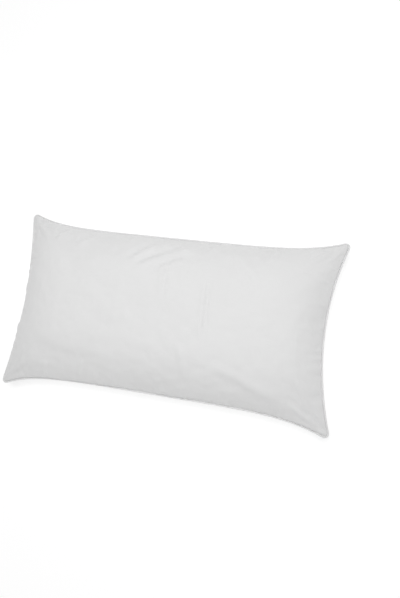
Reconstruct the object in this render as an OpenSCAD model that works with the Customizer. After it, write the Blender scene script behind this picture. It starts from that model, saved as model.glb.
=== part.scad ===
// Bed pillow lying on its back: two ticking panels sewn edge to edge with piping in the seam,
// turned right side out, filled with fibre and stitched shut along one short edge.
// The origin is on the surface that it lies on, under the middle. X runs along the pillow, Z is up.
// Millimetres throughout.

/* [Filled size] */
// Seam line from corner to corner along the pillow
tip_length = 890; // [600:1:1100]
// Seam line from corner to corner across the pillow
tip_width = 490; // [380:1:700]
// Height of the crown above the surface that it lies on
loft = 195; // [120:1:240]
// How far the middle of each long edge is drawn in from the line between its corners
long_edge_pull = 42; // [5:1:55]
// How far the middle of each short edge is drawn in from the line between its corners
short_edge_pull = 42; // [5:1:55]
// Height of the seam at the middle of each edge
seam_height = 88; // [60:1:105]
// How much lower the corners hang than the middle of each edge
corner_droop = 30; // [0:1:40]
// Radius that the corners are cut to
corner_radius = 16; // [8:1:24]

/* [Ticking] */
// Thickness of the ticking fabric
fabric_thickness = 0.5; // [0.3:0.05:0.8]
// Width of the seam allowance, turned inward
seam_allowance = 10; // [7:0.5:14]
// How far the fold at the seam stands open above the turned-in allowance
fold_opening = 0.7; // [0.5:0.1:1.5]
// Distance of the seam stitching from the fold, inside the casing
seam_stitch_inset = 2.5; // [2:0.1:5]

/* [Piping] */
// Diameter of the filler cord inside the piping
cord_diameter = 3.2; // [2:0.1:5]
// Thickness of the bias strip that wraps the cord
strip_thickness = 0.4; // [0.3:0.05:0.8]
// Length of the neck between the seam line and the wrapped cord
piping_neck = 0.8; // [0.7:0.1:2]

/* [Thread] */
// Diameter of the seam and closing thread
thread_diameter = 0.4; // [0.25:0.05:0.6]
// Thickness of the overedge thread round the raw edges
overedge_thickness = 0.3; // [0.2:0.05:0.5]
// How far the overedge stitching reaches in from the raw edges
overedge_bite = 3; // [2:0.5:4]

/* [Filling opening] */
// Length of the opening in one short edge, stitched shut after filling
opening_length = 220; // [120:5:260]
// Distance of the closing stitches from the seam line
closing_inset = 3; // [2:0.5:5]
// Distance from one closing stitch to the next
stitch_pitch = 5; // [3:0.5:7]
// Gap between the ends of neighbouring closing stitches
stitch_gap = 1.5; // [0.5:0.1:2]
// Length of the bar tack at each end of the opening
tack_length = 7; // [5:0.5:12]
// Width of the bar tack
tack_width = 1.8; // [1:0.1:3]
// Thickness of the bar tack
tack_thickness = 0.6; // [0.4:0.05:1]

/* [Care label] */
// Width of the blank label along the seam
label_width = 32; // [20:1:60]
// Length of label that hangs below the seam
label_length = 40; // [25:1:50]
// Length of label held inside the seam
label_hold = 7; // [4:0.5:9]
// Thickness of the folded label
label_thickness = 0.3; // [0.2:0.05:0.4]
// Distance of the label's middle from the middle of the long edge
label_offset = 120; // [60:5:160]

/* [Hidden] */

// Gap between layers that lie on each other
ply_gap = 0.05;
// Gap between the closing thread and the panel
thread_gap = 0.1;
// Gap between the threads inside and the plies, which twist a little towards the corners
inside_gap = 0.25;
// Gap between the fill and the casing
fill_gap = 0.4;
// Room between the overedge stitching and the fill
fill_room = 2;
// Share of full thickness at which the underside comes to rest on the surface
rest_share = 0.78;
// How far along each edge its pull reaches, as powers of the distance from the middle
long_pull_power = 5;
short_pull_power = 2;
// Powers by which the droop of the corners fades along and across
droop_power_x = 5;
droop_power_y = 2.5;
// Fullness of the crown towards the short edges, towards the long edges, and overall
crown_power_x = 6;
crown_power_y = 3;
crown_fullness = 0.78;

// Stations round the rim, rings over the fill, and sides of the round sections
long_steps = 26;
short_steps = 16;
corner_steps = 4;
fill_rings = 8;
wrap_steps = 8;
thread_sides = 5;
label_sections = 4;

half_length = tip_length / 2;
half_width = tip_width / 2;

// The plies of the seam, by height from its middle: strip, room for the label below, allowance, panel
strip_low = ply_gap;
strip_high = strip_low + strip_thickness;
label_room = label_thickness + 2 * ply_gap;
top_low = strip_high + ply_gap;
top_high = top_low + fabric_thickness;
bottom_low = strip_high + label_room;
bottom_high = bottom_low + fabric_thickness;
top_fold = top_high + fold_opening + fabric_thickness;
bottom_fold = bottom_high + fold_opening + fabric_thickness;
crown_rise = loft - seam_height - top_fold;
belly_drop = (seam_height - bottom_fold) / rest_share;
fill_inset = seam_allowance + inside_gap + overedge_thickness + fill_room;

// The piping's section, by distance out from the seam line
cord_radius = cord_diameter / 2;
bore_radius = cord_radius + ply_gap;
wrap_radius = bore_radius + strip_thickness;
wrap_start = asin(strip_high / wrap_radius);
bore_start = asin(strip_low / bore_radius);
wrap_centre = piping_neck + wrap_radius * cos(wrap_start);

// The rim of a unit square with rounded corners, anticlockwise from the end of one short side
corner_u = corner_radius / half_length;
corner_v = corner_radius / half_width;
function side_step(k, steps) = sin(90 * (2 * k / steps - 1));
function long_side(sign) = [for (k = [0 : long_steps - 1])
    [-sign * (1 - corner_u) * side_step(k, long_steps), sign]];
function short_side(sign) = [for (k = [0 : short_steps - 1])
    [sign, sign * (1 - corner_v) * side_step(k, short_steps)]];
function corner(su, sv, start) = [for (k = [0 : corner_steps - 1])
    let (a = start + 90 * k / corner_steps)
    [su * (1 - corner_u) + corner_u * cos(a), sv * (1 - corner_v) + corner_v * sin(a)]];
rim = concat(short_side(1), corner(1, 1, 0), long_side(1), corner(-1, 1, 90),
             short_side(-1), corner(-1, -1, 180), long_side(-1), corner(1, -1, 270));
stations = len(rim);
opening_start = short_steps + corner_steps + long_steps + corner_steps;

// Plan position, seam height and fullness at a point of the square
function plan(p, inset) = [
    p[0] * (half_length - inset - short_edge_pull * (1 - pow(abs(p[1]), short_pull_power))),
    p[1] * (half_width - inset - long_edge_pull * (1 - pow(abs(p[0]), long_pull_power)))];
function seam_z(p) = seam_height
    - corner_droop * pow(abs(p[0]), droop_power_x) * pow(abs(p[1]), droop_power_y);
function crown(p) = pow((1 - pow(abs(p[0]), crown_power_x)) * (1 - pow(abs(p[1]), crown_power_y)),
                        crown_fullness);
// Fullness at a point on the way to rim station r, which is none at the rim
function fullness(p, r) = (crown(p) - crown(r)) / (1 - crown(r));
function top_z(p, r) = seam_z(p) + top_fold + crown_rise * fullness(p, r);
function bottom_z(p, r) = max(0, seam_z(p) - bottom_fold - belly_drop * fullness(p, r));

// Rings of one surface: share of the way to the rim, inset of the whole surface, and lift from the outside
function top_ring(share, inset, lift) = [for (r = rim)
    let (p = share * r) concat(plan(p, inset), top_z(p, r) + lift)];
function bottom_ring(share, inset, lift) = [for (r = rim)
    let (p = share * r) concat(plan(p, inset), bottom_z(p, r) + lift)];
// A ring at one inset and height in the seam, whose plies run straight in from the seam line
function drawn_in(r, inset) = [r[0] * (1 - inset / half_length), r[1] * (1 - inset / half_width)];
rim_slope = [for (r = rim) (seam_z(drawn_in(r, seam_allowance)) - seam_z(r)) / seam_allowance];
function seam_ring(inset, rise) = [for (i = [0 : stations - 1])
    concat(plan(rim[i], inset), seam_z(rim[i]) + inset * rim_slope[i] + rise)];
// A ring outside the seam line, square to the edge
rim_line = [for (r = rim) plan(r, 0)];
rim_out = [for (i = [0 : stations - 1])
    let (d = rim_line[(i + 1) % stations] - rim_line[(i + stations - 1) % stations])
    [d[1], -d[0]] / norm(d)];
function outer_ring(out, rise) = [for (i = [0 : stations - 1])
    concat(rim_line[i] + out * rim_out[i], seam_z(rim[i]) + rise)];

// Shares at which a panel has its rings: over the fill, then one between, then the start of an edge band
// that is flat across, with the closing stitches along its middle
edge_share = 1 - 2 * closing_inset / (half_length - short_edge_pull);
fill_share = 1 - fill_inset / (half_width - long_edge_pull);
fill_shares = [for (k = [1 : fill_rings]) fill_share * sin(90 * k / fill_rings)];
panel_shares = concat(fill_shares, [(fill_share + edge_share) / 2, edge_share]);
middle = [0, 0];
function reversed(list) = [for (k = [len(list) - 1 : -1 : 0]) list[k]];

// The two triangles between points a and b of one ring and d and c of the next, always split between
// the nearer ring's first point and the further ring's second, so that layers on each other match
function split(a, b, c, d, outward) = outward ? [[a, b, c], [a, c, d]] : [[a, b, d], [b, c, d]];
function goes_outward(ring, next) = norm([ring[0][0], ring[0][1]]) < norm([next[0][0], next[0][1]]);

// A closed solid from rings between a point on top and a point below, going out and then back in
module capped_rings(first, rings, last) {
    count = len(rings);
    end = count * stations + 1;
    function at(k, i) = 1 + k * stations + i % stations;
    polyhedron(concat([first], [for (ring = rings) each ring], [last]), concat(
        [for (i = [0 : stations - 1]) [0, at(0, i + 1), at(0, i)]],
        [for (k = [0 : count - 2]) for (i = [0 : stations - 1])
            each split(at(k, i), at(k, i + 1), at(k + 1, i + 1), at(k + 1, i),
                       goes_outward(rings[k], rings[k + 1]))],
        [for (i = [0 : stations - 1]) [end, at(count - 1, i), at(count - 1, i + 1)]]));
}

// A closed loop round the rim, with one ring for each corner of its section, out over the top first
module looped_rings(rings) {
    count = len(rings);
    function at(k, i) = (k % count) * stations + i % stations;
    polyhedron([for (ring = rings) each ring],
        [for (k = [0 : count - 1]) for (i = [0 : stations - 1])
            each split(at(k, i), at(k, i + 1), at(k + 1, i + 1), at(k + 1, i),
                       goes_outward(rings[k], rings[(k + 1) % count]))]);
}

// A straight-ended strip through sections of the same number of points
module sectioned_strip(sections) {
    n = len(sections[0]);
    count = len(sections);
    function at(k, i) = k * n + i % n;
    polyhedron([for (s = sections) each s], concat(
        [[for (i = [0 : n - 1]) at(0, i)]],
        [for (k = [0 : count - 2]) for (i = [0 : n - 1])
            each split(at(k, i), at(k + 1, i), at(k + 1, i + 1), at(k, i + 1), true)],
        [[for (i = [n - 1 : -1 : 0]) at(count - 1, i)]]));
}

// A thread running round the rim at one inset, centred at one height in the seam
module thread_loop(inset, rise) {
    looped_rings([for (k = [0 : thread_sides - 1])
        let (a = 360 * k / thread_sides, r = thread_diameter / 2)
        seam_ring(inset + r * cos(a), rise + r * sin(a))]);
}

// Place and outward direction on a panel's edge band at one distance across the opening
function band_spot(inner, outer, y) = let (
    i = [for (k = [opening_start : opening_start + short_steps - 1])
        if (inner[k][1] + outer[k][1] >= 2 * y && inner[k + 1][1] + outer[k + 1][1] < 2 * y) k][0],
    start = (inner[i] + outer[i]) / 2,
    end = (inner[i + 1] + outer[i + 1]) / 2,
    t = (start[1] - y) / (start[1] - end[1]),
    spot = t < 0.5 ? inner[i] / 2 + outer[i] * (0.5 - t) + outer[i + 1] * t
                   : inner[i] * (1 - t) + inner[i + 1] * (t - 0.5) + outer[i + 1] / 2,
    across = t < 0.5 ? outer[i] - inner[i] : outer[i + 1] - inner[i + 1],
    square = cross(across, end - start))
    [spot, square / norm(square)];

// Stitches along one panel's edge band, on its outer side
module band_stitches(inner, outer, side) {
    lift = thread_diameter / 2 + thread_gap;
    half_stitch = (stitch_pitch - stitch_gap) / 2;
    count = floor(opening_length / stitch_pitch);
    for (k = [0 : count - 1]) {
        y = (k - (count - 1) / 2) * stitch_pitch;
        a = band_spot(inner, outer, y + half_stitch);
        b = band_spot(inner, outer, y - half_stitch);
        stitch(a[0] + side * lift * a[1], b[0] + side * lift * b[1]);
    }
}

module stitch(a, b) {
    d = b - a;
    translate(a) rotate([0, acos(d[2] / norm(d)), atan2(d[1], d[0])])
        cylinder(h = norm(d), d = thread_diameter, $fn = 16);
}

// Bar tacks at both ends of the opening, flat on one panel's edge band
module band_tacks(inner, outer, side) {
    for (end = [-1, 1]) {
        y = end * (opening_length + tack_length) / 2;
        a = band_spot(inner, outer, y + tack_length / 2);
        b = band_spot(inner, outer, y - tack_length / 2);
        along = (b[0] - a[0]) / norm(b[0] - a[0]);
        up = side * a[1];
        wide = cross(up, along);
        corner = (a[0] + b[0]) / 2 + up * thread_gap - along * tack_length / 2 - wide * tack_width / 2;
        multmatrix([[along[0], wide[0], up[0], corner[0]],
                    [along[1], wide[1], up[1], corner[1]],
                    [along[2], wide[2], up[2], corner[2]]])
            cube([tack_length, tack_width, tack_thickness]);
    }
}

module top_panel() {
    color([0.93, 0.93, 0.93]) capped_rings(
        concat(middle, top_z(middle, rim[0])),
        concat([for (s = panel_shares) top_ring(s, 0, 0)],
               [seam_ring(0, top_fold), seam_ring(0, top_low),
                seam_ring(seam_allowance, top_low), seam_ring(seam_allowance, top_high),
                seam_ring(fabric_thickness, top_high),
                seam_ring(fabric_thickness, top_fold - fabric_thickness)],
               [for (s = reversed(panel_shares)) top_ring(s, fabric_thickness, -fabric_thickness)]),
        concat(middle, top_z(middle, rim[0]) - fabric_thickness));
}

module bottom_panel() {
    color([0.91, 0.91, 0.91]) capped_rings(
        concat(middle, fabric_thickness),
        concat([for (s = panel_shares) bottom_ring(s, fabric_thickness, fabric_thickness)],
               [seam_ring(fabric_thickness, fabric_thickness - bottom_fold),
                seam_ring(fabric_thickness, -bottom_high), seam_ring(seam_allowance, -bottom_high),
                seam_ring(seam_allowance, -bottom_low), seam_ring(0, -bottom_low),
                seam_ring(0, -bottom_fold)],
               [for (s = reversed(panel_shares)) bottom_ring(s, 0, 0)]),
        concat(middle, 0));
}

module fibre_fill() {
    offset = fabric_thickness + fill_gap;
    color([0.98, 0.98, 0.97]) capped_rings(
        concat(middle, top_z(middle, rim[0]) - offset),
        concat([for (s = fill_shares) top_ring(s, offset, -offset)],
               [for (s = reversed(fill_shares)) bottom_ring(s, offset, offset)]),
        concat(middle, offset));
}

module piping_strip() {
    turns = [for (k = [0 : wrap_steps]) k / wrap_steps];
    color([0.9, 0.9, 0.9]) looped_rings(concat(
        [seam_ring(seam_allowance, strip_high), seam_ring(0, strip_high)],
        [for (t = turns) let (a = wrap_start + t * (360 - 2 * wrap_start))
            outer_ring(wrap_centre - wrap_radius * cos(a), wrap_radius * sin(a))],
        [seam_ring(0, -strip_high), seam_ring(seam_allowance, -strip_high),
         seam_ring(seam_allowance, -strip_low), seam_ring(0, -strip_low)],
        [for (t = turns) let (a = bore_start + (1 - t) * (360 - 2 * bore_start))
            outer_ring(wrap_centre - bore_radius * cos(a), bore_radius * sin(a))],
        [seam_ring(0, strip_low), seam_ring(seam_allowance, strip_low)]));
}

module piping_cord() {
    color([0.85, 0.83, 0.78]) looped_rings([for (k = [0 : wrap_steps - 1])
        let (a = 360 * k / wrap_steps)
        outer_ring(wrap_centre - cord_radius * cos(a), cord_radius * sin(a))]);
}

module seam_thread() {
    lift = inside_gap + thread_diameter / 2;
    color([0.97, 0.97, 0.97]) {
        thread_loop(seam_stitch_inset, top_high + lift);
        thread_loop(seam_stitch_inset, -bottom_high - lift);
    }
}

module overedge_thread() {
    back = seam_allowance + inside_gap;
    bite = seam_allowance - overedge_bite;
    over = top_high + inside_gap;
    under = -bottom_high - inside_gap;
    color([0.97, 0.97, 0.95]) looped_rings([
        seam_ring(back + overedge_thickness, over + overedge_thickness),
        seam_ring(bite, over + overedge_thickness), seam_ring(bite, over), seam_ring(back, over),
        seam_ring(back, under), seam_ring(bite, under), seam_ring(bite, under - overedge_thickness),
        seam_ring(back + overedge_thickness, under - overedge_thickness)]);
}

module closing_stitches() {
    color([0.97, 0.97, 0.97]) {
        band_stitches(top_ring(edge_share, 0, 0), top_ring(1, 0, 0), 1);
        band_stitches(bottom_ring(edge_share, 0, 0), bottom_ring(1, 0, 0), -1);
    }
}

module closing_bar_tacks() {
    color([0.95, 0.95, 0.95]) {
        band_tacks(top_ring(edge_share, 0, 0), top_ring(1, 0, 0), 1);
        band_tacks(bottom_ring(edge_share, 0, 0), bottom_ring(1, 0, 0), -1);
    }
}

// Place, outward direction and height on the far long edge at one distance along it
function edge_spot(x) = let (
    first = short_steps + corner_steps,
    i = [for (k = [first : first + long_steps - 1])
        if (rim_line[k][0] >= x && rim_line[k + 1][0] < x) k][0],
    t = (rim_line[i][0] - x) / (rim_line[i][0] - rim_line[i + 1][0]))
    [rim_line[i] * (1 - t) + rim_line[i + 1] * t, rim_out[i] * (1 - t) + rim_out[i + 1] * t,
     seam_z(rim[i]) * (1 - t) + seam_z(rim[i + 1]) * t];

module care_label() {
    // It leaves the seam under the piping's neck, half way between the panel's fold and the wrapped cord
    back = (piping_neck - label_thickness) / 2;
    front = back + label_thickness;
    top = -strip_high - ply_gap;
    section = [[-label_hold, top], [front, top], [front, top - label_length], [back, top - label_length],
               [back, top - label_thickness], [-label_hold, top - label_thickness]];
    color([0.96, 0.96, 0.98]) sectioned_strip([for (k = [0 : label_sections - 1])
        let (spot = edge_spot(-label_offset + label_width * (0.5 - k / (label_sections - 1))))
        [for (p = section) concat(spot[0] + p[0] * spot[1], spot[2] + p[1])]]);
}

top_panel();
bottom_panel();
fibre_fill();
piping_strip();
piping_cord();
seam_thread();
overedge_thread();
closing_stitches();
closing_bar_tacks();
care_label();
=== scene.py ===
"""Bed pillow on a pale floor: the ticking is relaxed as cloth over the fill, then piped, stitched and lit."""
import math

import bpy
import numpy as np
from mathutils import Matrix, Vector


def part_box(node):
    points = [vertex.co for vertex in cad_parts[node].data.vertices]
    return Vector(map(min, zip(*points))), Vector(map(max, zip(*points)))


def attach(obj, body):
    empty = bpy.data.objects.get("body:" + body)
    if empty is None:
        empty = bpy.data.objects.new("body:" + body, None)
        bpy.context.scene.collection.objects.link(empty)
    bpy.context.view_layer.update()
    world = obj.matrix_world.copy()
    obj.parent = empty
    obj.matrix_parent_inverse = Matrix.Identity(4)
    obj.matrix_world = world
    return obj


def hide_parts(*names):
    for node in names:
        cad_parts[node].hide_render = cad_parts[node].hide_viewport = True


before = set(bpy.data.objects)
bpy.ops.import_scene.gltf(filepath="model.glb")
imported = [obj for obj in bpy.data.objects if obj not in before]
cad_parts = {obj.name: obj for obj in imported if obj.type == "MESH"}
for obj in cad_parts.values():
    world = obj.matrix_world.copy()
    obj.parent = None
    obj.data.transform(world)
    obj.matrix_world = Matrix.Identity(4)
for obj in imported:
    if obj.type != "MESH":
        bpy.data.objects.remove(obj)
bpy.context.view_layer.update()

# ---------------------------------------------------------------- sizes, in metres

# The tips are cut round, so the panels' box stops short of the corners that the edges run to
CORNER_TRIM = (0.00453, 0.00565)
CORNER_RADIUS = 0.016
EDGE_PULL = 0.042
CORNER_DROOP = 0.030
LONG_PULL_POWER, SHORT_PULL_POWER = 5, 2
DROOP_POWERS = (5, 2.5)
CROWN_POWERS, CROWN_FULLNESS = (6, 3), 0.78
REST_SHARE = 0.78  # share of full thickness at which the underside comes to rest
FABRIC = 0.0005
LABEL_DROP = 0.00052  # the label leaves the seam this far under its middle

panel_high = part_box("top_panel")[1]
HALF_LENGTH = panel_high[0] + CORNER_TRIM[0]
HALF_WIDTH = panel_high[1] + CORNER_TRIM[1]
LOFT = panel_high[2]
SEAM_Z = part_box("care_label")[1][2] + LABEL_DROP

# The flat cut: a king size casing of 20 x 36 inches
CUT = (0.914, 0.508)

FOLD_SEED, WRINKLE_SEED, FILL_SEED = 4, 7, 11


# ---------------------------------------------------------------- the casing's designed shape

def round_corners(u, v):
    """Moves points of a square near its corners so that its rim has round corners."""
    a, b = (1 - abs(u)) * HALF_LENGTH, (1 - abs(v)) * HALF_WIDTH
    near = (a < CORNER_RADIUS) & (b < CORNER_RADIUS)
    x = np.where(near, 1 - a / CORNER_RADIUS, 0)
    y = np.where(near, 1 - b / CORNER_RADIUS, 0)
    a = CORNER_RADIUS * (1 - x * np.sqrt(1 - y * y / 2))
    b = CORNER_RADIUS * (1 - y * np.sqrt(1 - x * x / 2))
    return (np.where(near, np.sign(u) * (1 - a / HALF_LENGTH), u),
            np.where(near, np.sign(v) * (1 - b / HALF_WIDTH), v))


def plan(u, v):
    """Place in plan of a point of the square, with the edges drawn in."""
    return (u * (HALF_LENGTH - EDGE_PULL * (1 - abs(v) ** SHORT_PULL_POWER)),
            v * (HALF_WIDTH - EDGE_PULL * (1 - abs(u) ** LONG_PULL_POWER)))


def seam_height(u, v):
    return SEAM_Z - CORNER_DROOP * abs(u) ** DROOP_POWERS[0] * abs(v) ** DROOP_POWERS[1]


def crown(u, v):
    flat = (1 - abs(u) ** CROWN_POWERS[0]) * (1 - abs(v) ** CROWN_POWERS[1])
    return np.clip(flat, 0, None) ** CROWN_FULLNESS


def surface(u, v, upper):
    """The outside of the filled casing at points of the square, whose rim becomes the seam line."""
    round_u, round_v = round_corners(u, v)
    x, y = plan(round_u, round_v)
    z = seam_height(round_u, round_v)
    if upper:
        z = z + crown(u, v) * (LOFT - SEAM_Z)
    else:
        z = np.maximum(0, z - crown(u, v) * SEAM_Z / REST_SHARE)
    return np.stack([x, y, z], -1)


ARC_POINTS = 4001
EVEN_POWERS = (4, 8)  # how late the grid's spacing turns from even on the crown to even along the edges


def arc_spacing(count, half, power):
    """Places from -1 to 1 that are evenly spaced along the crown's arc."""
    t = np.linspace(-1, 1, ARC_POINTS)
    z = (LOFT - SEAM_Z) * np.clip(1 - abs(t) ** power, 0, None) ** CROWN_FULLNESS
    along = np.concatenate([[0], np.cumsum(np.hypot(np.diff(t * half), np.diff(z)))])
    return np.interp(np.linspace(-1, 1, count + 1), along / along[-1] * 2 - 1, t)


def square(nx, ny):
    """Grid of points of the square whose cells are nearly even on the filled casing."""
    u, v = np.meshgrid(np.linspace(-1, 1, nx + 1), np.linspace(-1, 1, ny + 1), indexing="ij")
    even_u = arc_spacing(nx, HALF_LENGTH - EDGE_PULL, CROWN_POWERS[0])[:, None]
    even_v = arc_spacing(ny, HALF_WIDTH - EDGE_PULL, CROWN_POWERS[1])[None, :]
    at_long, at_short = abs(v) ** EVEN_POWERS[0], abs(u) ** EVEN_POWERS[1]
    return even_u * (1 - at_long) + u * at_long, even_v * (1 - at_short) + v * at_short


def casing(nx, ny):
    """Both sides of the casing as one array: side, row along X, row along Y, coordinate."""
    u, v = square(nx, ny)
    return np.stack([surface(u, v, True), surface(u, v, False)])


def outward(points):
    n = np.cross(np.gradient(points, axis=1), np.gradient(points, axis=2))
    n[1] *= -1
    return n / (np.linalg.norm(n, axis=-1, keepdims=True) + 1e-12)


# ---------------------------------------------------------------- folds that the fabric has spare length for

# Soft folds of the upper side: start, bend and end in plan, half width and height (minus is a hollow)
FOLDS = [
    ((0.073, 0.174), (0.003, 0.144), (-0.085, 0.088), 0.0125, 0.0085),
    ((-0.029, 0.172), (-0.062, 0.152), (-0.089, 0.106), 0.0100, 0.0062),
    ((0.055, 0.136), (0.023, 0.118), (-0.025, 0.090), 0.0120, 0.0048),
    ((-0.205, 0.190), (-0.225, 0.165), (-0.250, 0.140), 0.0085, 0.0042),
    ((-0.290, 0.200), (-0.305, 0.182), (-0.318, 0.156), 0.0070, 0.0028),
    ((0.135, 0.196), (0.118, 0.178), (0.092, 0.160), 0.0105, 0.0044),
    ((0.165, 0.172), (0.200, 0.138), (0.248, 0.094), 0.0130, 0.0048),
    ((0.275, 0.196), (0.262, 0.172), (0.256, 0.144), 0.0090, 0.0030),
    ((0.010, 0.128), (0.014, 0.080), (0.015, 0.028), 0.0058, -0.0028),
    ((0.122, 0.106), (0.124, 0.020), (0.130, -0.072), 0.0058, -0.0034),
    ((0.065, -0.066), (0.085, -0.096), (0.091, -0.156), 0.0095, 0.0019),
    ((-0.006, -0.088), (0.006, -0.104), (0.012, -0.126), 0.0075, 0.0011),
    ((0.030, -0.078), (0.042, -0.092), (0.058, -0.108), 0.0075, -0.0009),
    ((0.030, -0.200), (0.022, -0.180), (0.016, -0.155), 0.0075, 0.0020),
    ((0.148, -0.108), (0.236, -0.136), (0.338, -0.180), 0.0130, 0.0036),
    ((0.348, -0.108), (0.368, -0.140), (0.392, -0.178), 0.0080, 0.0026),
    ((0.402, 0.134), (0.380, 0.127), (0.330, 0.131), 0.0065, 0.0020),
    ((0.400, 0.074), (0.388, 0.070), (0.368, 0.075), 0.0060, 0.0011),
    ((0.400, 0.004), (0.375, 0.012), (0.335, 0.006), 0.0075, 0.0018),
    ((0.403, -0.092), (0.385, -0.084), (0.362, -0.090), 0.0065, 0.0012),
    ((-0.410, 0.120), (-0.385, 0.112), (-0.360, 0.110), 0.0060, 0.0022),
    ((-0.405, -0.040), (-0.380, -0.036), (-0.350, -0.042), 0.0055, 0.0020),
    ((-0.345, -0.125), (-0.240, -0.150), (-0.105, -0.142), 0.0280, -0.0050),
    ((-0.200, -0.195), (-0.185, -0.170), (-0.175, -0.140), 0.0055, 0.0022),
    ((-0.300, -0.200), (-0.290, -0.180), (-0.282, -0.155), 0.0050, 0.0020),
]
# A hollow runs beside each fold, this deep and this far off in shares of its height and half width
HOLLOW_DEPTH, HOLLOW_REACH, HOLLOW_SPREAD = 0.7, 1.7, 1.2
FOLD_FADE = (0.25, 0.3)  # shares of a fold's length over which it rises and fades out
# Folds that fan in from each tip: length, angle from the diagonal in degrees, half width, height
TIP_FOLDS = [(0.105, -9, 0.0055, 0.0026), (0.125, 8, 0.0060, 0.0028), (0.080, 20, 0.0045, 0.0018)]
TIP_PLACE = (0.985, 0.97)  # where on the square the fans start
TIP_TURN, TIP_WANDER = 5, 0.006  # how far a fold strays, in degrees and in metres at its middle
TIP_LENGTHS = (0.8, 1.1)


FOLD_POINTS = 25
FOLD_REACH = 4  # half widths from its line at which a fold has died away


def fold_height(x, y, start, bend, end, half_width, height):
    """A rounded fold along a curve, fading out at both ends, with a hollow beside it."""
    t = np.linspace(0, 1, FOLD_POINTS)[:, None]
    line = (1 - t) ** 2 * np.array(start) + 2 * t * (1 - t) * np.array(bend) + t ** 2 * np.array(end)
    reach = FOLD_REACH * half_width
    box = ((x > line[:, 0].min() - reach) & (x < line[:, 0].max() + reach)
           & (y > line[:, 1].min() - reach) & (y < line[:, 1].max() + reach))
    out = np.zeros_like(x)
    if not box.any():
        return out
    p = np.stack([x[box], y[box]], -1)
    best = np.full(len(p), np.inf)
    side, share = np.zeros(len(p)), np.zeros(len(p))
    for k in range(len(line) - 1):
        d = line[k + 1] - line[k]
        s = np.clip(((p - line[k]) @ d) / (d @ d), 0, 1)
        away = p - (line[k] + s[:, None] * d)
        dist = np.hypot(away[:, 0], away[:, 1])
        closer = dist < best
        sign = np.sign(d[0] * away[:, 1] - d[1] * away[:, 0])
        best, side = np.where(closer, dist, best), np.where(closer, sign, side)
        share = np.where(closer, (k + s) / (len(line) - 1), share)
    across = best * side / half_width
    fade = np.clip(share / FOLD_FADE[0], 0, 1) * np.clip((1 - share) / FOLD_FADE[1], 0, 1)
    fade = fade * fade * (3 - 2 * fade)
    hollow = HOLLOW_DEPTH * np.exp(-((across + HOLLOW_REACH) / HOLLOW_SPREAD) ** 2)
    shape = np.exp(-across ** 2) - hollow
    out[box] = height * fade * shape
    return out


def value_noise(rng, shape, cells):
    """Smooth noise from -1 to 1 on each side's grid, with a number of cells along and across."""
    knots = rng.uniform(-1, 1, (shape[0], cells[0] + 1, cells[1] + 1))
    a, b = np.linspace(0, cells[0] - 1e-6, shape[1]), np.linspace(0, cells[1] - 1e-6, shape[2])
    i, j = a.astype(int), b.astype(int)
    f, g = a - i, b - j
    f, g = (f * f * (3 - 2 * f))[None, :, None], (g * g * (3 - 2 * g))[None, None, :]
    near = knots[:, i][:, :, j] * (1 - f) + knots[:, i + 1][:, :, j] * f
    far = knots[:, i][:, :, j + 1] * (1 - f) + knots[:, i + 1][:, :, j + 1] * f
    return near * (1 - g) + far * g


LUMPS = [((9, 6), 0.0017), ((17, 10), 0.0013), ((34, 20), 0.0011), ((62, 36), 0.0006)]
PUCKER_HEIGHT, PUCKER_REACH, PUCKER_START = 0.0030, 0.018, 0.004
PUCKER_CELLS = (92, 52)


def fold_field(points, u, v, seed):
    """Height of folds, lumps and seam puckers over the designed shape, on both sides."""
    x, y = points[0, ..., 0], points[0, ..., 1]
    rng = np.random.default_rng(seed)
    field = np.zeros(points.shape[:3])
    for cells, height in LUMPS:
        field += height * value_noise(rng, field.shape, cells)
    along = value_noise(rng, field.shape, PUCKER_CELLS)
    # Distance in from the long and short edges, along which the puckers run inward
    to_long = (1 - abs(v)) * (HALF_WIDTH - EDGE_PULL)
    to_short = (1 - abs(u)) * (HALF_LENGTH - EDGE_PULL)
    for distance, axis in ((to_long, 2), (to_short, 1)):
        near, far = np.take(along, [0], axis), np.take(along, [-1], axis)
        rim = np.where((v if axis == 2 else u) < 0, near, far)
        strength = np.exp(-distance / PUCKER_REACH) * (1 - np.exp(-distance / PUCKER_START))
        field += PUCKER_HEIGHT * rim * strength
    for fold in FOLDS:
        field[0] += fold_height(x, y, *fold)
    # The underside's folds mirror the upper side's in another order, and every tip has its fan
    for start, bend, end, half_width, height in FOLDS[::2]:
        turned = [(-p[0], -p[1]) for p in (start, bend, end)]
        field[1] += fold_height(x, y, *turned, half_width, height)
    tip = np.array(plan(*TIP_PLACE))
    diagonal = math.atan2(tip[1], tip[0])
    for sx in (-1, 1):
        for sy in (-1, 1):
            for side in (0, 1):
                for length, angle, half_width, height in TIP_FOLDS:
                    turn = diagonal + math.radians(angle + rng.uniform(-TIP_TURN, TIP_TURN))
                    inward = np.array([math.cos(turn), math.sin(turn)]) * length * rng.uniform(*TIP_LENGTHS)
                    middle = tip - inward * 0.5 + rng.uniform(-TIP_WANDER, TIP_WANDER, 2)
                    spots = [(sx * p[0], sy * p[1]) for p in (tip, middle, tip - inward)]
                    field[side] += fold_height(x, y, *spots, half_width, height)
    return field


# ---------------------------------------------------------------- cloth relaxation

# Grids from coarse to fine, with the steps taken on each
LEVELS = [((64, 36), 120), ((128, 72), 120), ((256, 144), 130)]
CUT_SHARE = 0.22  # how far the rest lengths go from the designed shape's towards the flat cut's
SPARE = 0.003
PUSH_BACK = 0.8  # stiffness against squeezing, as a share of that against stretching
SHEAR = 0.3
BENDING = 0.008
FILL_HOLD = 0.004
FOLD_KEEP = 0.75


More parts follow.
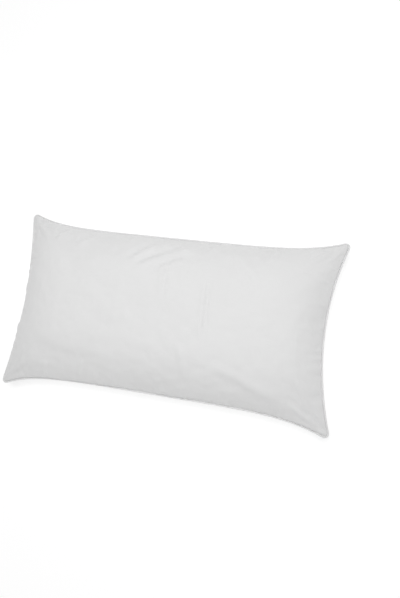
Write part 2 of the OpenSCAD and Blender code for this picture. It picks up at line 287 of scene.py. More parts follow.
def neighbours(p, along, across):
    """Views of all pairs of points that are one step apart in one direction of the grid."""
    nx, ny = p.shape[1], p.shape[2]
    a, b = p[:, :nx - along], p[:, along:]
    if across > 0:
        a, b = a[:, :, :ny - 1], b[:, :, 1:]
    elif across < 0:
        a, b = a[:, :, 1:], b[:, :, :ny - 1]
    return a, b


# Warp, weft and both diagonals, with the grid axis whose alternate pairs share no point
DIRECTIONS = [((1, 0), 1, 1.0), ((0, 1), 2, 1.0), ((1, 1), 1, SHEAR), ((1, -1), 1, SHEAR)]


def rest_lengths(shape):
    nx, ny = shape.shape[1] - 1, shape.shape[2] - 1
    lengths = []
    for (along, across), _, _ in DIRECTIONS:
        a, b = neighbours(shape, along, across)
        cut = math.hypot(along * CUT[0] / nx, across * CUT[1] / ny)
        designed = np.linalg.norm(b - a, axis=-1)
        lengths.append((designed * (1 - CUT_SHARE) + cut * CUT_SHARE) * (1 + SPARE))
    return lengths


def pull_pairs(p, lengths, direction, axis, stiffness):
    a, b = neighbours(p, *direction)
    for start in (0, 1):
        pick = [slice(None)] * 3
        pick[axis] = slice(start, None, 2)
        pick = tuple(pick)
        first, second = a[pick], b[pick]
        gap = second - first
        length = np.sqrt((gap * gap).sum(-1))
        stretch = (length - lengths[pick]) / np.maximum(length, 1e-9)
        share = np.where(stretch > 0, stiffness, stiffness * PUSH_BACK) * stretch * 0.5
        first += gap * share[..., None]
        second -= gap * share[..., None]


def laplacian(d):
    out = np.zeros_like(d)
    out[:, 1:-1] += d[:, 2:] + d[:, :-2] - 2 * d[:, 1:-1]
    out[:, :, 1:-1] += d[:, :, 2:] + d[:, :, :-2] - 2 * d[:, :, 1:-1]
    return out


def hold_seam(p, designed):
    """The piping's cord and the seam's threads keep the seam line on its designed run."""
    for rim in (np.s_[:, 0], np.s_[:, -1], np.s_[:, :, 0], np.s_[:, :, -1]):
        p[rim] = designed[rim]


def finer(d, nx, ny):
    for axis, count in ((1, nx), (2, ny)):
        place = np.linspace(0, d.shape[axis] - 1, count + 1)
        i = np.minimum(place.astype(int), d.shape[axis] - 2)
        f = (place - i).reshape([-1 if k == axis else 1 for k in range(4)])
        d = np.take(d, i, axis) * (1 - f) + np.take(d, i + 1, axis) * f
    return d


def relaxed_casing():
    moved, folds_before = None, None
    for (nx, ny), steps in LEVELS:
        u, v = square(nx, ny)
        designed = casing(nx, ny)
        normal = outward(designed)
        # The same seed gives every level the same folds
        folds = fold_field(designed, u, v, FOLD_SEED)[..., None] * normal
        lengths = rest_lengths(designed + folds)
        p = designed + folds
        if moved is not None:
            p = designed + finer(moved, nx, ny) + folds - finer(folds_before, nx, ny)
        for _ in range(steps):
            away = p - designed
            p -= BENDING * laplacian(laplacian(away - FOLD_KEEP * folds))
            lift = ((away - FOLD_KEEP * folds) * normal).sum(-1, keepdims=True)
            p -= FILL_HOLD * lift * normal
            for (direction, axis, share), rest in zip(DIRECTIONS, lengths):
                pull_pairs(p, rest, direction, axis, share)
            hold_seam(p, designed)
            p[1, ..., 2] = np.maximum(p[1, ..., 2], 0)
        moved, folds_before = p - designed, folds
    return p


# ---------------------------------------------------------------- mesh helpers

def new_mesh(name, points, faces, material, uv=None):
    """A smooth piece that rides with the pillow, from an array of equal faces or a list of mixed ones."""
    mesh = bpy.data.meshes.new(name)
    faces = faces if isinstance(faces, list) else faces.tolist()
    mesh.from_pydata(np.asarray(points, float).tolist(), [], faces)
    mesh.update()
    mesh.polygons.foreach_set("use_smooth", [True] * len(mesh.polygons))
    mesh.materials.append(material)
    if uv is not None:
        corners = np.zeros(len(mesh.loops), int)
        mesh.loops.foreach_get("vertex_index", corners)
        layer = mesh.uv_layers.new(name="cloth")
        layer.data.foreach_set("uv", np.asarray(uv, float)[corners].ravel())
    piece = bpy.data.objects.new(name, mesh)
    bpy.context.scene.collection.objects.link(piece)
    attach(piece, "root")
    return piece


def grid_faces(nx, ny, flip=False):
    """Faces of an nx by ny grid of points stored row by row."""
    index = np.arange(nx * ny).reshape(nx, ny)
    faces = np.stack([index[:-1, :-1], index[1:, :-1], index[1:, 1:], index[:-1, 1:]], -1).reshape(-1, 4)
    return faces[:, ::-1] if flip else faces


def looped_tube(sections):
    """Points and faces of a tube through closed sections round a closed path."""
    count, sides = len(sections), len(sections[0])
    k, s = np.meshgrid(np.arange(count), np.arange(sides), indexing="ij")
    k2, s2 = (k + 1) % count, (s + 1) % sides
    faces = np.stack([k * sides + s, k2 * sides + s, k2 * sides + s2, k * sides + s2], -1).reshape(-1, 4)
    return np.concatenate(sections), faces


def thread_tube(path, radius, sides=6):
    """Points and faces of a capped round tube along an open path."""
    path = np.asarray(path, float)
    run = np.gradient(path, axis=0)
    run /= np.linalg.norm(run, axis=1, keepdims=True)
    side = np.cross(run, (0.3, 0.2, 1.0))
    side /= np.linalg.norm(side, axis=1, keepdims=True)
    up = np.cross(side, run)
    turn = np.linspace(0, 2 * math.pi, sides, endpoint=False)
    ring = np.cos(turn)[None, :, None] * side[:, None] + np.sin(turn)[None, :, None] * up[:, None]
    points = (path[:, None] + radius * ring).reshape(-1, 3)
    faces = []
    for k in range(len(path) - 1):
        for s in range(sides):
            t = (s + 1) % sides
            faces.append((k * sides + s, (k + 1) * sides + s, (k + 1) * sides + t, k * sides + t))
    points = np.vstack([points, path[0], path[-1]])
    first, last = len(points) - 2, len(points) - 1
    end = (len(path) - 1) * sides
    for s in range(sides):
        t = (s + 1) % sides
        faces.append((first, s, t))
        faces.append((last, end + t, end + s))
    return points, faces


def joined(parts):
    """One list of points and faces from several."""
    points, faces, base = [], [], 0
    for part_points, part_faces in parts:
        points.append(np.asarray(part_points))
        faces += [tuple(int(i) + base for i in f) for f in part_faces]
        base += len(part_points)
    return np.vstack(points), faces


# ---------------------------------------------------------------- materials

def material(name):
    m = bpy.data.materials.new(name)
    m.use_nodes = True
    tree = m.node_tree
    return m, tree.nodes, tree.links, tree.nodes["Principled BSDF"]


def math_node(nodes, links, kind, a, b):
    n = nodes.new("ShaderNodeMath")
    n.operation = kind
    for socket, value in zip(n.inputs, (a, b)):
        if isinstance(value, (int, float)):
            socket.default_value = value
        else:
            links.new(value, socket)
    return n.outputs[0]


def scaled(nodes, links, vector, scale, turn=0.0):
    n = nodes.new("ShaderNodeMapping")
    n.inputs["Scale"].default_value = scale
    n.inputs["Rotation"].default_value = (0, 0, turn)
    links.new(vector, n.inputs["Vector"])
    return n.outputs[0]


def noise(nodes, links, vector, scale, detail=2.0):
    n = nodes.new("ShaderNodeTexNoise")
    n.inputs["Scale"].default_value = scale
    n.inputs["Detail"].default_value = detail
    links.new(vector, n.inputs["Vector"])
    return n.outputs["Fac"]


SLUBS = (30, 900)  # slubs to the metre along a thread and across it
WEAVE_RELIEF, FIBRE_RELIEF, CLUMP_RELIEF = 0.00012, 0.0001, 0.004
WASH_AND_GAP_SHADE, GROOVE_SHADE, HOLLOW_SHADE = 0.965, 0.86, 0.8  # darkest part, as a share of the colour: random wash tone plus painted shade in the weave's gaps, painted shade in the twist's grooves, and painted shade in the hollows between fibre clumps


def woven(name, colour, thread, turn=0.0, bump=0.35, sheen=0.25):
    """Plain-woven cloth whose threads run along the flat pattern in the mesh's cloth map, in metres."""
    m, nodes, links, shader = material(name)
    at = nodes.new("ShaderNodeUVMap")
    at.uv_map = "cloth"
    threads = 1 / (2 * thread)
    flat = scaled(nodes, links, at.outputs[0], (threads, threads, 1), turn)
    split = nodes.new("ShaderNodeSeparateXYZ")
    links.new(flat, split.inputs[0])
    circle = 2 * math.pi
    warp = math_node(nodes, links, "SINE", math_node(nodes, links, "MULTIPLY", split.outputs[0], circle), 0)
    weft = math_node(nodes, links, "SINE", math_node(nodes, links, "MULTIPLY", split.outputs[1], circle), 0)
    weave = math_node(nodes, links, "MULTIPLY", warp, weft)
    # Slubs: threads that are a little thicker for a few centimetres, along both directions
    along = noise(nodes, links, scaled(nodes, links, at.outputs[0], (*SLUBS, 1), turn), 1.0)
    across = noise(nodes, links, scaled(nodes, links, at.outputs[0], (*SLUBS[::-1], 1), turn), 1.0)
    slubs = math_node(nodes, links, "ADD", along, across)
    height = math_node(nodes, links, "ADD", math_node(nodes, links, "MULTIPLY", weave, 0.5),
                       math_node(nodes, links, "MULTIPLY", slubs, 0.8))
    relief = nodes.new("ShaderNodeBump")
    relief.inputs["Strength"].default_value = bump
    relief.inputs["Distance"].default_value = WEAVE_RELIEF
    links.new(height, relief.inputs["Height"])
    links.new(relief.outputs[0], shader.inputs["Normal"])
    # Cloudy wash variation and thread variation, plus painted shade that makes the gaps between threads
    # slightly darker
    cloud = noise(nodes, links, scaled(nodes, links, at.outputs[0], (9, 9, 1)), 1.0, 4.0)
    tone = math_node(nodes, links, "ADD", math_node(nodes, links, "MULTIPLY", cloud, 0.5),
                     math_node(nodes, links, "MULTIPLY", slubs, 0.2))
    tone = math_node(nodes, links, "ADD", tone, math_node(nodes, links, "MULTIPLY", weave, 0.06))
    ramp = nodes.new("ShaderNodeValToRGB")
    ramp.color_ramp.elements[0].position, ramp.color_ramp.elements[1].position = 0.25, 0.7
    ramp.color_ramp.elements[0].color = (*[c * WASH_AND_GAP_SHADE for c in colour], 1)
    ramp.color_ramp.elements[1].color = (*colour, 1)
    links.new(tone, ramp.inputs[0])
    links.new(ramp.outputs[0], shader.inputs["Base Color"])
    rough = nodes.new("ShaderNodeMapRange")
    rough.inputs["To Min"].default_value, rough.inputs["To Max"].default_value = 0.78, 0.92
    links.new(slubs, rough.inputs["Value"])
    links.new(rough.outputs[0], shader.inputs["Roughness"])
    shader.inputs["Specular IOR Level"].default_value = 0.3
    shader.inputs["Sheen Weight"].default_value = sheen
    shader.inputs["Sheen Roughness"].default_value = 0.5
    return m


def spun(name, colour, scale, bump=0.5):
    """Spun thread or cord: fine fibres twisted round it, from the object's own coordinates."""
    m, nodes, links, shader = material(name)
    at = nodes.new("ShaderNodeTexCoord").outputs["Object"]
    wave = nodes.new("ShaderNodeTexWave")
    wave.wave_type, wave.bands_direction = "BANDS", "DIAGONAL"
    wave.inputs["Scale"].default_value = scale
    wave.inputs["Distortion"].default_value = 1.5
    links.new(at, wave.inputs["Vector"])
    fibres = noise(nodes, links, at, scale * 6, 3.0)
    height = math_node(nodes, links, "ADD", wave.outputs["Fac"],
                       math_node(nodes, links, "MULTIPLY", fibres, 0.5))
    relief = nodes.new("ShaderNodeBump")
    relief.inputs["Strength"].default_value = bump
    relief.inputs["Distance"].default_value = FIBRE_RELIEF
    links.new(height, relief.inputs["Height"])
    links.new(relief.outputs[0], shader.inputs["Normal"])
    # Painted shade: the colour darkens where the twist's grooves and fibres sit low, following the relief's
    # height
    ramp = nodes.new("ShaderNodeValToRGB")
    ramp.color_ramp.elements[0].color = (*[c * GROOVE_SHADE for c in colour], 1)
    ramp.color_ramp.elements[1].color = (*colour, 1)
    links.new(height, ramp.inputs[0])
    links.new(ramp.outputs[0], shader.inputs["Base Color"])
    shader.inputs["Roughness"].default_value = 0.7
    shader.inputs["Sheen Weight"].default_value = 0.3
    return m


def fluffy(name, colour):
    """Loose crimped fibre: cloudy at two scales, with strong sheen."""
    m, nodes, links, shader = material(name)
    at = nodes.new("ShaderNodeTexCoord").outputs["Object"]
    clumps = noise(nodes, links, at, 28, 6.0)
    strands = noise(nodes, links, scaled(nodes, links, at, (900, 260, 900)), 1.0, 3.0)
    height = math_node(nodes, links, "ADD", clumps, math_node(nodes, links, "MULTIPLY", strands, 0.4))
    relief = nodes.new("ShaderNodeBump")
    relief.inputs["Strength"].default_value = 0.8
    relief.inputs["Distance"].default_value = CLUMP_RELIEF
    links.new(height, relief.inputs["Height"])
    links.new(relief.outputs[0], shader.inputs["Normal"])
    # Painted shade: the colour darkens in the hollows between clumps and strands, following the relief's
    # height
    ramp = nodes.new("ShaderNodeValToRGB")
    ramp.color_ramp.elements[0].color = (*[c * HOLLOW_SHADE for c in colour], 1)
    ramp.color_ramp.elements[1].color = (*colour, 1)
    links.new(height, ramp.inputs[0])
    links.new(ramp.outputs[0], shader.inputs["Base Color"])
    shader.inputs["Roughness"].default_value = 1.0
    shader.inputs["Sheen Weight"].default_value = 0.6
    return m


WHITE = (0.80, 0.80, 0.80)
COTTON_THREAD, SATIN_THREAD = 0.00035, 0.0002
ticking_cloth = woven("ticking_cloth", WHITE, COTTON_THREAD)
bias_cloth = woven("bias_cloth", WHITE, COTTON_THREAD, turn=math.radians(45), bump=0.45)
label_satin = woven("label_satin", (0.84, 0.84, 0.86), SATIN_THREAD, bump=0.15, sheen=0.4)
sewing_thread = spun("sewing_thread", (0.84, 0.84, 0.84), 900)
cord_cotton = spun("filler_cord", (0.72, 0.67, 0.56), 350, bump=0.8)
fibre = fluffy("fibre", (0.88, 0.88, 0.87))


# ---------------------------------------------------------------- the casing's two sides

# The cloth's outside stands this far over and under the seam's middle where it turns in
TURN_HEIGHT = (0.0016, 0.00195)
TURN_FADE = 0.006
# Heights at which the seam's plies lie, over and under its middle, and how deep they reach in
PLY_HEIGHT = (0.00052, 0.00087)
ALLOWANCE = 0.0097
# The turn starts just outside the seam line, this share of the way up from the plies
TURN_LIP, TURN_RISE = 0.0002, 0.6
PLY_START = 0.0005  # the plies lie flat from this far in
FLANGE_START = 0.003  # and have a row of points here, as the piping's flange has
MAP_STEP = 0.001  # how far the cloth map runs on from one row of the turned edge to the next


def border(nx, ny):
    """Grid places along the rim, anticlockwise seen from above."""
    return ([(i, 0) for i in range(nx)] + [(nx, j) for j in range(ny)]
            + [(i, ny) for i in range(nx, 0, -1)] + [(0, j) for j in range(ny, 0, -1)])


def out_of_loop(points):
    """Level directions out of a closed anticlockwise loop."""
    run = np.roll(points, -1, axis=0) - np.roll(points, 1, axis=0)
    out = np.stack([run[:, 1], -run[:, 0], 0 * run[:, 0]], -1)
    return out / np.linalg.norm(out, axis=1, keepdims=True)


def rim_slope(u, v):
    """How fast the seam's height changes towards the middle, at rim points of the square."""
    inset = ALLOWANCE
    inner = seam_height(u * (1 - inset / HALF_LENGTH), v * (1 - inset / HALF_WIDTH))
    return (inner - seam_height(u, v)) / inset


relaxed = relaxed_casing()
NX, NY = relaxed.shape[1] - 1, relaxed.shape[2] - 1
grid_u, grid_v = square(NX, NY)
edge = tuple(np.array(border(NX, NY)).T)
seam_line = relaxed[0][edge]
seam_out = out_of_loop(seam_line)
rim_u, rim_v = round_corners(grid_u[edge], grid_v[edge])
seam_slope = rim_slope(rim_u, rim_v)
# The plies run in towards the middle as the whole plan shrinks, not square to the edge
seam_in = np.stack([-rim_u, -rim_v, seam_slope], -1)
to_seam = np.minimum((1 - abs(grid_u)) * (HALF_LENGTH - EDGE_PULL),
                     (1 - abs(grid_v)) * (HALF_WIDTH - EDGE_PULL))
outside = relaxed.copy()
outside[0, ..., 2] += TURN_HEIGHT[0] * np.exp(-to_seam / TURN_FADE)
outside[1, ..., 2] -= TURN_HEIGHT[1] * np.exp(-to_seam / TURN_FADE)
outside[1, ..., 2] = np.maximum(outside[1, ..., 2], 0)


def flat_place(i, j):
    """Where a grid point lies on the flat cut."""
    return np.stack([i * CUT[0] / NX, j * CUT[1] / NY], -1)


def ticking(name, side):
    """One side of the casing, with its edge turned in between the seam's plies."""
    up = 1 if side == 0 else -1
    i, j = np.meshgrid(np.arange(NX + 1), np.arange(NY + 1), indexing="ij")
    points, flat = [outside[side].reshape(-1, 3)], [flat_place(i, j).reshape(-1, 2)]
    faces = [grid_faces(NX + 1, NY + 1, flip=side == 1)]
    last = edge[0] * (NY + 1) + edge[1]
    count = len(last)
    lip = TURN_RISE * TURN_HEIGHT[side] + (1 - TURN_RISE) * PLY_HEIGHT[side]
    turns = [(-TURN_LIP, lip)] + [(inset, PLY_HEIGHT[side]) for inset in (PLY_START, FLANGE_START, ALLOWANCE)]
    travelled = 0.0
    base = len(points[0])
    for inset, height in turns:
        ring = seam_line + seam_in * max(inset, 0) + seam_out * max(-inset, 0)
        ring[:, 2] += up * height
        travelled += MAP_STEP + max(inset, 0) / 2
        points.append(ring)
        flat.append(flat_place(*edge) + seam_out[:, :2] * travelled)
        ring_index = base + np.arange(count)
        a, b = last, np.roll(last, -1)
        c, d = np.roll(ring_index, -1), ring_index
        strip = np.stack([b, a, d, c], -1)
        faces.append(strip if side == 0 else strip[:, ::-1])
        last, base = ring_index, base + count
    piece = new_mesh(name, np.vstack(points), np.vstack(faces), ticking_cloth, uv=np.vstack(flat))
    cloth = piece.modifiers.new("fabric", "SOLIDIFY")
    cloth.thickness, cloth.offset = FABRIC, -1
    return piece


ticking_top = ticking("ticking_top", 0)
ticking_bottom = ticking("ticking_bottom", 1)
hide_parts("top_panel")
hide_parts("bottom_panel")

# ---------------------------------------------------------------- piping

PIPING_STATIONS = 1800
WRAP_RADIUS, BORE_RADIUS = 0.00205, 0.00169
WRAP_STEPS, BORE_STEPS = 18, 16
WRAP_MIDDLE = 0.0028
STRIP_HALF, STRIP_INNER = 0.00045, 0.00005
WRINKLE, WRINKLE_PITCH = 0.00017, 0.0056
WRINKLE_LEAST = 0.35  # share of the full wrinkle where it is faintest
WRINKLE_PATCHES, WRINKLE_BREAKS, WRINKLE_DRIFT = 160, 420, 2.2
FLANGE_POINTS, FLANGE_LIP = 3, 0.0002


def piping_section(radius, half_height, steps):
    """Round the cord from under the seam to over it, then in along the flange: out, up and angle."""
    start = math.pi - math.asin(half_height / radius)
    turn = np.linspace(-start, start, steps)
    flange = np.array([(out, half_height) for out in (-ALLOWANCE, -FLANGE_START, FLANGE_LIP)])
    under = flange * (1, -1)
    round_part = np.stack([WRAP_MIDDLE + radius * np.cos(turn), radius * np.sin(turn)], -1)
    return np.vstack([under, round_part, flange[::-1]]), np.pad(turn, FLANGE_POINTS)


def resampled_loop(points, count):
    closed = np.vstack([points, points[:1]])
    along = np.concatenate([[0], np.cumsum(np.linalg.norm(np.diff(closed[:, :3], axis=0), axis=1))])
    place = np.linspace(0, along[-1], count, endpoint=False)
    return np.stack([np.interp(place, along, column) for column in closed.T], -1), place


def piping():
    line, along = resampled_loop(np.column_stack([seam_line, seam_in]), PIPING_STATIONS)
    line, inward = line[:, :3], line[:, 3:]
    out = out_of_loop(line)
    outer, turn = piping_section(WRAP_RADIUS, STRIP_HALF, WRAP_STEPS)
    inner, _ = piping_section(BORE_RADIUS, STRIP_INNER, BORE_STEPS)
    section = np.vstack([outer, inner[::-1]])
    rng = np.random.default_rng(WRINKLE_SEED)
    # Bias-cut cloth wrinkles slantwise round the cord, more in some places than in others
    round_part = np.zeros(len(section))
    round_part[FLANGE_POINTS:FLANGE_POINTS + WRAP_STEPS] = 1
    angles = np.concatenate([turn, np.zeros(len(inner))])
    patches = np.linspace(0, along[-1], WRINKLE_PATCHES), rng.uniform(0, 1, WRINKLE_PATCHES)
    breaks = np.linspace(0, along[-1], WRINKLE_BREAKS), rng.uniform(-1, 1, WRINKLE_BREAKS)
    strength = WRINKLE_LEAST + (1 - WRINKLE_LEAST) * np.interp(along, *patches)
    drift = WRINKLE_DRIFT * np.interp(along, *breaks)
    wave = np.sin(2 * math.pi * along[:, None] / WRINKLE_PITCH + angles[None] + drift[:, None])
    swell = WRINKLE * strength[:, None] * wave * round_part
    middle = np.array([WRAP_MIDDLE, 0])
    away = section - middle
    away = away / np.maximum(np.linalg.norm(away, axis=1, keepdims=True), 1e-9)
    shape = section[None] + away[None] * swell[..., None]
    points = line[:, None] + out[:, None] * np.maximum(shape[..., :1], 0)
    points += inward[:, None] * np.maximum(-shape[..., :1], 0)
    points[..., 2] += shape[..., 1]
    flat_points, faces = looped_tube(list(points))
    width = np.concatenate([[0], np.cumsum(np.linalg.norm(np.diff(section, axis=0), axis=1))])
    uv = np.stack(np.broadcast_arrays(along[:, None], width[None]), -1).reshape(-1, 2)
    return new_mesh("piping_cover", flat_points, faces, bias_cloth, uv=uv)


piping_cover = piping()
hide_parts("piping_strip")

CORD_STATIONS, CORD_SIDES = 2400, 15
CORD_RADIUS, CORD_GROOVE = 0.00158, 0.00018
CORD_STRANDS, CORD_LAY = 3, 0.011


def piping_filler():
    """Three soft strands twisted into the cord that fills the piping."""
    line, along = resampled_loop(seam_line, CORD_STATIONS)
    out = out_of_loop(line)
    turns = round(along[-1] / CORD_LAY)
    angle = np.linspace(0, 2 * math.pi, CORD_SIDES, endpoint=False)[None]
    twist = 2 * math.pi * turns * np.arange(CORD_STATIONS)[:, None] / CORD_STATIONS
    radius = CORD_RADIUS - CORD_GROOVE * (1 - abs(np.cos(CORD_STRANDS / 2 * (angle - twist))))
    middle = line + out * WRAP_MIDDLE
    points = middle[:, None] + out[:, None] * (radius * np.cos(angle))[..., None]
    points[..., 2] += radius * np.sin(angle)
    flat_points, faces = looped_tube(list(points))
    return new_mesh("filler_cord", flat_points, faces, cord_cotton)


filler_cord = piping_filler()
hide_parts("piping_cord")

# ---------------------------------------------------------------- fibre fill

FILL_EDGE = 10  # grid cells left clear beside the seam, which are short in plan where the cloth is steep
FILL_GAP = 0.0025
FILL_LUMPS = [((26, 15), 0.0016), ((70, 40), 0.0008)]
WALL_RINGS, WALL_BULGE = 6, 0.0025


def fill():
    """A lumpy mass of fibre that follows the relaxed casing a little way inside it."""
    rng = np.random.default_rng(FILL_SEED)
    normal = outward(relaxed)
    depth = np.full(relaxed.shape[:3], FILL_GAP)
    for cells, height in FILL_LUMPS:
        depth += height * (1 + value_noise(rng, depth.shape, cells))
    cut = slice(FILL_EDGE, -FILL_EDGE)
    body = (relaxed - normal * depth[..., None])[:, cut, cut][:, ::2, ::2]
    nx, ny = body.shape[1] - 1, body.shape[2] - 1
    rim = tuple(np.array(border(nx, ny)).T)
    upper, lower = body[0].reshape(-1, 3), body[1].reshape(-1, 3)
    points = [upper, lower]
    faces = [grid_faces(nx + 1, ny + 1), grid_faces(nx + 1, ny + 1, flip=True) + len(upper)]
    index = rim[0] * (ny + 1) + rim[1]
    out = out_of_loop(upper[index])
    last, base = index, 2 * len(upper)
    for k in range(1, WALL_RINGS + 1):
        t = k / (WALL_RINGS + 1)
        ring = upper[index] * (1 - t) + lower[index] * t + out * WALL_BULGE * math.sin(math.pi * t)
        points.append(ring)
        here = base + np.arange(len(index))
        faces.append(np.stack([np.roll(last, -1), last, here, np.roll(here, -1)], -1))
        last, base = here, base + len(index)
    here = index + len(upper)
    faces.append(np.stack([np.roll(last, -1), last, here, np.roll(here, -1)], -1))
    return new_mesh("fill_mass", np.vstack(points), np.vstack(faces), fibre)


fill_mass = fill()
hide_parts("fibre_fill")

# ---------------------------------------------------------------- the sewn-up opening on one short edge

OPENING = 0.220
CLOSING_INSET = 0.003
STITCH_PITCH, STITCH_GAP = 0.005, 0.0012
THREAD_RADIUS = 0.0002
TACK_LENGTH, TACK_WIDTH, TACK_STROKES = 0.007, 0.0018, 26
TACK_OVERLAP = 0.1  # share of a tack that lies over the stitches
EDGE_ROWS = 6  # grid rows beside the edge that the stitches can lie on
NORMAL_REACH = 0.002  # length of cloth over which its slope is taken
# Heights over the cloth in thread radii: a stitch dives in at its ends, and a tack's strokes cross
STITCH_RISE, STITCH_DIVE = 2.6, 0.6
TACK_LIFTS = (1.0, 2.2)
STITCH_POINTS = 7


def on_edge(side, y, inset, lift):
    """A point over the cloth beside the short edge, at a distance in from the seam line along the cloth."""
    rows = np.array([[np.interp(y, outside[side, i, :, 1], outside[side, i, :, axis]) for axis in range(3)]
                     for i in range(EDGE_ROWS)])
    along = np.concatenate([[0], np.cumsum(np.linalg.norm(np.diff(rows, axis=0), axis=1))])
    point = np.array([np.interp(inset, along, rows[:, axis]) for axis in range(3)])
    ahead = np.array([np.interp(inset + NORMAL_REACH, along, rows[:, axis]) for axis in range(3)]) - point
    normal = np.cross(ahead, (0, 1, 0)) * (1 if side == 0 else -1)
    return point + normal / np.linalg.norm(normal) * lift


def stitches():
    parts = []
    for side in (0, 1):
        for k in range(round(OPENING / STITCH_PITCH)):
            start = -OPENING / 2 + k * STITCH_PITCH + STITCH_GAP / 2
            path = []
            for t in np.linspace(0, 1, STITCH_POINTS):
                lift = THREAD_RADIUS * (STITCH_RISE * math.sin(math.pi * t) - STITCH_DIVE)
                path.append(on_edge(side, start + t * (STITCH_PITCH - STITCH_GAP), CLOSING_INSET, lift))
            parts.append(thread_tube(path, THREAD_RADIUS))
    return new_mesh("closing_thread", *joined(parts), sewing_thread)


def tacks():
    """Dense zigzag stitching over both ends of the opening."""
    parts = []
    for side in (0, 1):
        for end in (-1, 1):
            path = []
            for k in range(TACK_STROKES * 2 + 1):
                y = end * (OPENING / 2 + TACK_LENGTH * (k / (2 * TACK_STROKES) - TACK_OVERLAP))
                swing = TACK_WIDTH / 2 * (1, 0, -1, 0)[k % 4]
                path.append(on_edge(side, y, CLOSING_INSET + swing, THREAD_RADIUS * TACK_LIFTS[k % 2]))
            parts.append(thread_tube(path, THREAD_RADIUS))
    return new_mesh("closing_tacks", *joined(parts), sewing_thread)


closing_thread = stitches()
closing_tacks = tacks()
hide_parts("closing_stitches")
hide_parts("closing_bar_tacks")

# ---------------------------------------------------------------- blank label

LABEL_FLAT = (0.032, 0.047)
LABEL_HOLD = 0.007
LABEL_THICKNESS = 0.0003
LABEL_TURN = 0.0015
LABEL_GRID = (17, 41)  # points across and down
LABEL_CURL, LABEL_CUP, LABEL_TWIST = 0.0035, 0.0012, 0.0016


def label():
    """A blank satin tab that hangs from the seam and curls a little away from it."""
    low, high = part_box("care_label")
    middle = (low[0] + high[0]) / 2
    across, down = LABEL_GRID
    points, flat = [], []
    for a in np.linspace(-1, 1, across):
        for s in np.linspace(0, LABEL_FLAT[1], down):
            free = s - LABEL_HOLD
            if free < 0:
                y, z = low[1] + s, high[2] - LABEL_THICKNESS / 2
            else:
                bend = min(free / LABEL_TURN, math.pi / 2)
                y = low[1] + LABEL_HOLD + LABEL_TURN * math.sin(bend) * 0.5
                drop = free - LABEL_TURN * (math.pi / 2 - 1) * min(free / (LABEL_TURN * math.pi / 2), 1)
                fallen = drop if bend >= math.pi / 2 else LABEL_TURN * (1 - math.cos(bend))
                z = high[2] - LABEL_THICKNESS / 2 - fallen
            t = max(free, 0) / (LABEL_FLAT[1] - LABEL_HOLD)
            y += LABEL_CURL * t * t + LABEL_CUP * a * a * t + LABEL_TWIST * a * t * t
            points.append((middle + a * LABEL_FLAT[0] / 2, y, z))
            flat.append(((a + 1) / 2 * LABEL_FLAT[0], s))
    piece = new_mesh("blank_label", points, grid_faces(across, down), label_satin, uv=flat)
    cloth = piece.modifiers.new("tape", "SOLIDIFY")
    cloth.thickness, cloth.offset = LABEL_THICKNESS, 0
    return piece


blank_label = label()
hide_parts("care_label")

# The seam's threads are right as they are, and only need their fibres
for node in ("seam_thread", "overedge_thread"):
    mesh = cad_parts[node].data
    mesh.materials.clear()
    mesh.materials.append(sewing_thread)

# ---------------------------------------------------------------- stage, light and camera

FLOOR_HALF = 60.0
FLOOR_DROP = 0.0005
FLOOR_GLOW, FLOOR_TONE, FLOOR_MOTTLE = 0.62, 0.48, 0.99


def floor():
    m, nodes, links, shader = material("floor")
    at = nodes.new("ShaderNodeTexCoord").outputs["Object"]
    ramp = nodes.new("ShaderNodeValToRGB")
    ramp.color_ramp.elements[0].color = (*[FLOOR_TONE * FLOOR_MOTTLE] * 3, 1)
    ramp.color_ramp.elements[1].color = (*[FLOOR_TONE] * 3, 1)
    links.new(noise(nodes, links, at, 6.0), ramp.inputs[0])
    links.new(ramp.outputs[0], shader.inputs["Base Color"])
    shader.inputs["Roughness"].default_value = 0.9
    shader.inputs["Specular IOR Level"].default_value = 0.1
    shader.inputs["Emission Color"].default_value = (1, 1, 1, 1)
    shader.inputs["Emission Strength"].default_value = FLOOR_GLOW
    h, z = FLOOR_HALF, -FLOOR_DROP
    mesh = bpy.data.meshes.new("floor")
    mesh.from_pydata([(-h, -h, z), (h, -h, z), (h, h, z), (-h, h, z)], [], [(0, 1, 2, 3)])
    mesh.materials.append(m)
    piece = bpy.data.objects.new("floor", mesh)
    bpy.context.scene.collection.objects.link(piece)


floor()

# The studio is palest at the horizon and dimmer overhead, where the softbox does the work
HORIZON_LIGHT, OVERHEAD_LIGHT = 0.76, 0.42
HORIZON_TOP = 0.35


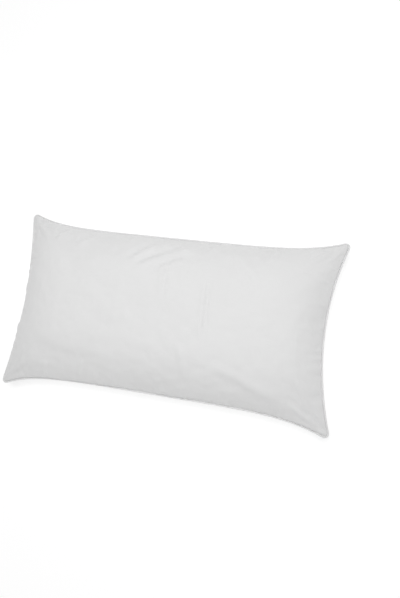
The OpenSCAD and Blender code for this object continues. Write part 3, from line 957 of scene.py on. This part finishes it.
def studio():
    world = bpy.data.worlds.new("studio")
    bpy.context.scene.world = world
    world.use_nodes = True
    nodes, links = world.node_tree.nodes, world.node_tree.links
    at = nodes.new("ShaderNodeTexCoord")
    split = nodes.new("ShaderNodeSeparateXYZ")
    links.new(at.outputs["Generated"], split.inputs[0])
    fade = nodes.new("ShaderNodeMapRange")
    fade.inputs["From Min"].default_value, fade.inputs["From Max"].default_value = 0, HORIZON_TOP
    fade.inputs["To Min"].default_value, fade.inputs["To Max"].default_value = HORIZON_LIGHT, OVERHEAD_LIGHT
    links.new(split.outputs["Z"], fade.inputs["Value"])
    nodes["Background"].inputs["Color"].default_value = (1, 1, 1, 1)
    links.new(fade.outputs[0], nodes["Background"].inputs["Strength"])


studio()


KEY_PLACE, KEY_TARGET = (0.19, 0.30, 2.3), (0, 0.03, 0.08)
KEY_SIZE, KEY_POWER = 1.0, 27.5


def softbox(name, place, target, size, power):
    light = bpy.data.lights.new(name, "AREA")
    light.shape, light.size, light.energy = "SQUARE", size, power
    lamp = bpy.data.objects.new(name, light)
    lamp.location = place
    lamp.rotation_euler = (Vector(target) - Vector(place)).to_track_quat("-Z", "Y").to_euler()
    bpy.context.scene.collection.objects.link(lamp)


softbox("key", KEY_PLACE, KEY_TARGET, KEY_SIZE, KEY_POWER)


LENS, SENSOR = 30.1, 36  # millimetres
EYE = (0.355, -0.100, 1.347)
# The camera's own axes: to its right, up, and back from what it looks at
EYE_RIGHT, EYE_UP, EYE_BACK = (0.9706, 0.1469, -0.1905), (-0.120, 0.982, 0.1456), (0.2085, -0.1184, 0.9708)


def camera():
    """Looks down steeply on the pillow from its front, turned a little."""
    lens = bpy.data.cameras.new("camera")
    lens.lens, lens.sensor_width = LENS, SENSOR
    eye = bpy.data.objects.new("camera", lens)
    eye.matrix_world = Matrix([*zip(EYE_RIGHT, EYE_UP, EYE_BACK, EYE), (0, 0, 0, 1)])
    bpy.context.scene.collection.objects.link(eye)
    bpy.context.scene.camera = eye


camera()
bpy.context.scene.view_settings.view_transform = "Standard"
